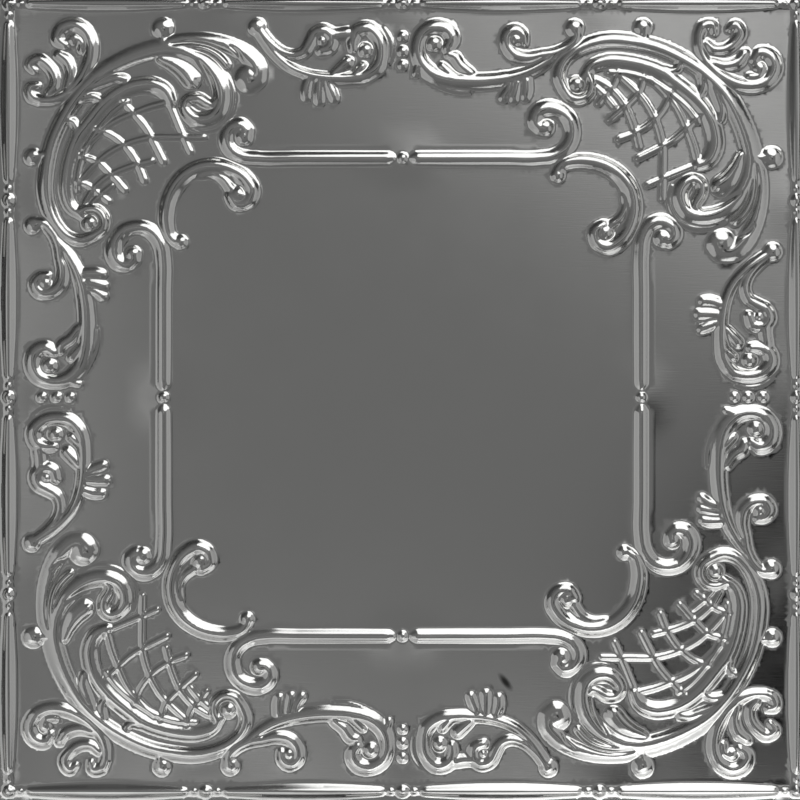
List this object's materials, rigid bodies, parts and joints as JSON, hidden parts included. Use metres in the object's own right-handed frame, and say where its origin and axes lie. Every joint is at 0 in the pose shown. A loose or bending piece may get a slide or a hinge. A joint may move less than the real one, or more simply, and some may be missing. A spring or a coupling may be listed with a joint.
{
  "type": "pressed tin ceiling tile",
  "caption": "Square pressed tinplate ceiling panel with an embossed scrollwork border, a beaded rim and a plain middle field.",
  "frame": {"origin": "middle of the sheet on its back, at the lowest point of the flat sheet", "axes": "+X and +Y along two sides of the square, +Z through the sheet out of the raised face"},
  "size_m": [0.6286, 0.6286, 0.0051],
  "materials": {
    "tinplate": "bright hot-dipped tin on thin sheet steel, cold pressed, unpainted"
  },
  "bodies": {
    "root": {"pressed_sheet": "tinplate"}
  },
  "joints": []
}
